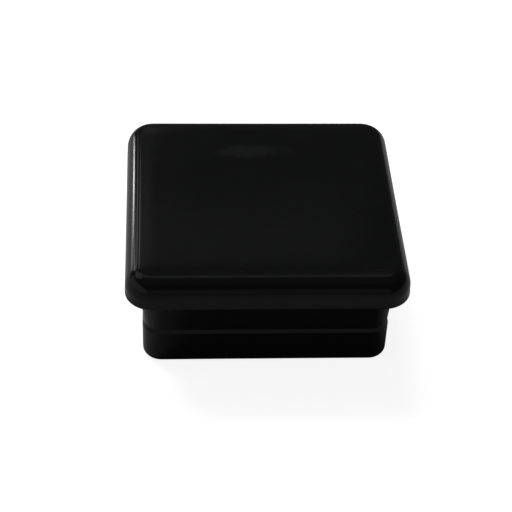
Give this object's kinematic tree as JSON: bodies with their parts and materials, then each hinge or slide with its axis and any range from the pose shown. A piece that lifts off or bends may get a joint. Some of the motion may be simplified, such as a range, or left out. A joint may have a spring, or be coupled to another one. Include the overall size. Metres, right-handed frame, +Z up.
{
  "type": "square tube end cap",
  "caption": "Low square cap with rolled edges that closes the end of a square tube, held in the tube by a hollow barbed plug.",
  "frame": {"origin": "middle of the end of the plug, in the plane that the cap stands on", "axes": "+Z points up through the middle of the head, along the tube and out of it; +X and +Y run along the sides of the square"},
  "size_m": [0.05, 0.05, 0.0207],
  "materials": {
    "black_plastic": "moulded black polyethylene with a fine grain and a soft semi-gloss shine"
  },
  "bodies": {
    "root": {"post_cap": "black_plastic"}
  },
  "joints": []
}
